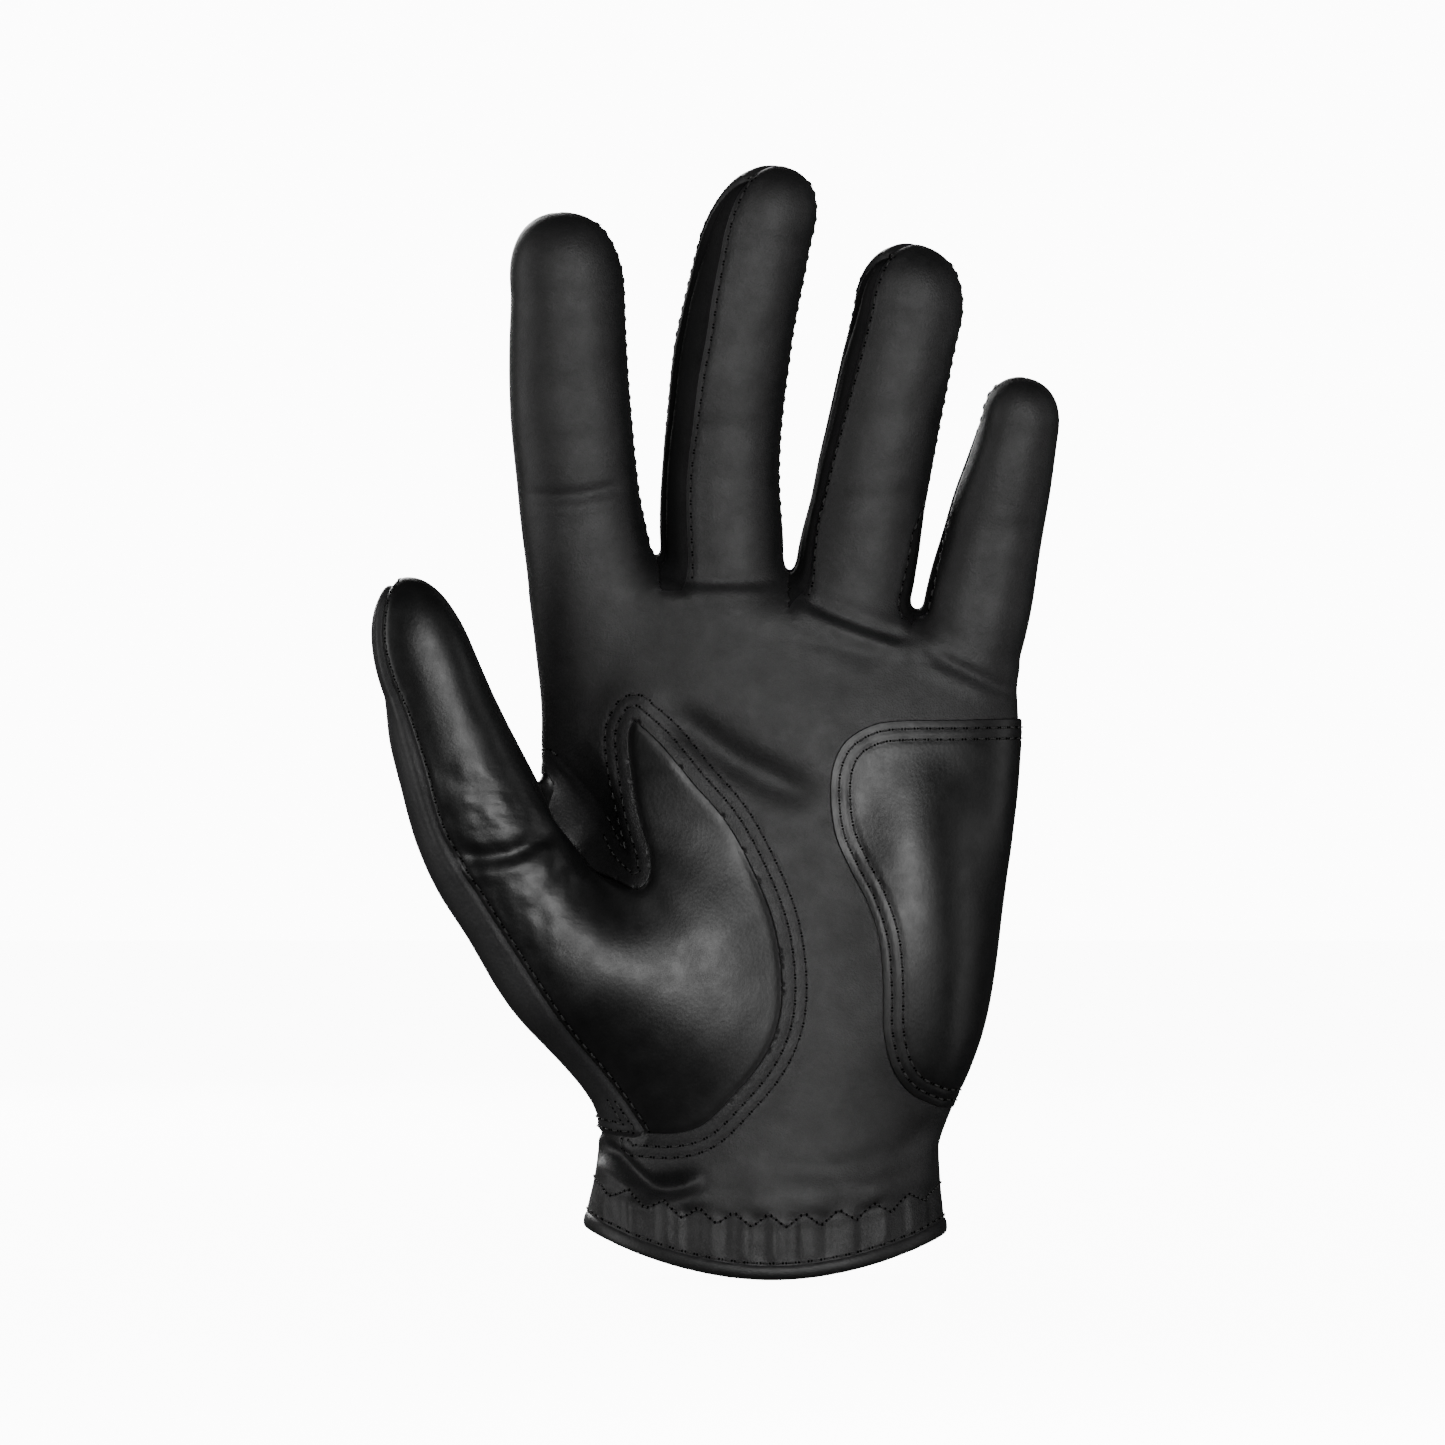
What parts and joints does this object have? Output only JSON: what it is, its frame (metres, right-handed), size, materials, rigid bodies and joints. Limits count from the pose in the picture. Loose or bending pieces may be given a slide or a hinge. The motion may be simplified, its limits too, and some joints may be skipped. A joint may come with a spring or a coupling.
{
  "type": "golf glove",
  "caption": "Left-hand golf glove: matte palm, smooth thumb and heel leather, curved hem with elastic, bending fingers and a closure tab that peels open at the back.",
  "frame": {"origin": "middle of the wrist opening, at the lowest point of the hem", "axes": "+Z along the glove towards the fingertips, -Y the way the palm faces, -X towards the thumb; the glove hangs by the hand inside it, so -Z is the way out of the wrist opening"},
  "size_m": [0.1389, 0.0506, 0.2226],
  "materials": {
    "palm_microfibre": "matte, fine grain",
    "smooth_leather": "smooth, satin",
    "back_leather": "satin",
    "strip_fabric": "matte",
    "stretch_mesh": "matte",
    "binding_tape": "matte",
    "elastic_tape": "matte",
    "tab_leather": "satin",
    "loop_fabric": "matte, napped",
    "hook_plastic": "matte"
  },
  "bodies": {
    "hand": {"palm_panel": "palm_microfibre", "thumb_base_patch": "smooth_leather", "heel_patch": "smooth_leather", "back_panel": "back_leather", "knuckle_stretch_panel": "stretch_mesh", "index_middle_gusset": "strip_fabric", "middle_ring_gusset": "strip_fabric", "ring_little_gusset": "strip_fabric", "hem_binding": "binding_tape", "slit_binding": "binding_tape", "wrist_elastic": "elastic_tape", "loop_pad": "loop_fabric", "tab_anchor": "tab_leather"},
    "index": {"index_front": "palm_microfibre", "index_back": "back_leather", "index_outer_side_strip": "strip_fabric"},
    "middle": {"middle_front": "palm_microfibre", "middle_back": "back_leather", "middle_thumb_side_strip": "strip_fabric", "middle_outer_side_strip": "strip_fabric"},
    "ring": {"ring_front": "palm_microfibre", "ring_back": "back_leather", "ring_thumb_side_strip": "strip_fabric", "ring_outer_side_strip": "strip_fabric"},
    "little": {"little_front": "palm_microfibre", "little_back": "back_leather", "little_thumb_side_strip": "strip_fabric"},
    "thumb": {"thumb_front": "smooth_leather", "thumb_back": "back_leather"},
    "tab": {"closure_tab": "tab_leather", "hook_pad": "hook_plastic"}
  },
  "joints": [
    {"name": "index_bend", "type": "hinge", "parent": "hand", "child": "index", "pos_m": [-0.03714, -0.00648, 0.15653], "axis": [0.9924, 0, 0.1229], "range_deg": [0, 90]},
    {"name": "middle_bend", "type": "hinge", "parent": "hand", "child": "middle", "pos_m": [-0.00823, -0.00647, 0.169], "axis": [0.9978, 0, -0.0665], "range_deg": [0, 90]},
    {"name": "ring_bend", "type": "hinge", "parent": "hand", "child": "ring", "pos_m": [0.0213, -0.00647, 0.15651], "axis": [0.9815, 0, -0.1913], "range_deg": [0, 90]},
    {"name": "little_bend", "type": "hinge", "parent": "hand", "child": "little", "pos_m": [0.04609, -0.00648, 0.14913], "axis": [0.9724, 0, -0.2334], "range_deg": [0, 90]},
    {"name": "thumb_bend", "type": "hinge", "parent": "hand", "child": "thumb", "pos_m": [-0.06404, -0.01898, 0.10856], "axis": [0.9357, 0, 0.3529], "range_deg": [0, 75]},
    {"name": "tab_open", "type": "hinge", "parent": "hand", "child": "tab", "pos_m": [-0.0203, 0.0223, 0.026], "axis": [0, 0, 1], "range_deg": [0, 150]}
  ]
}
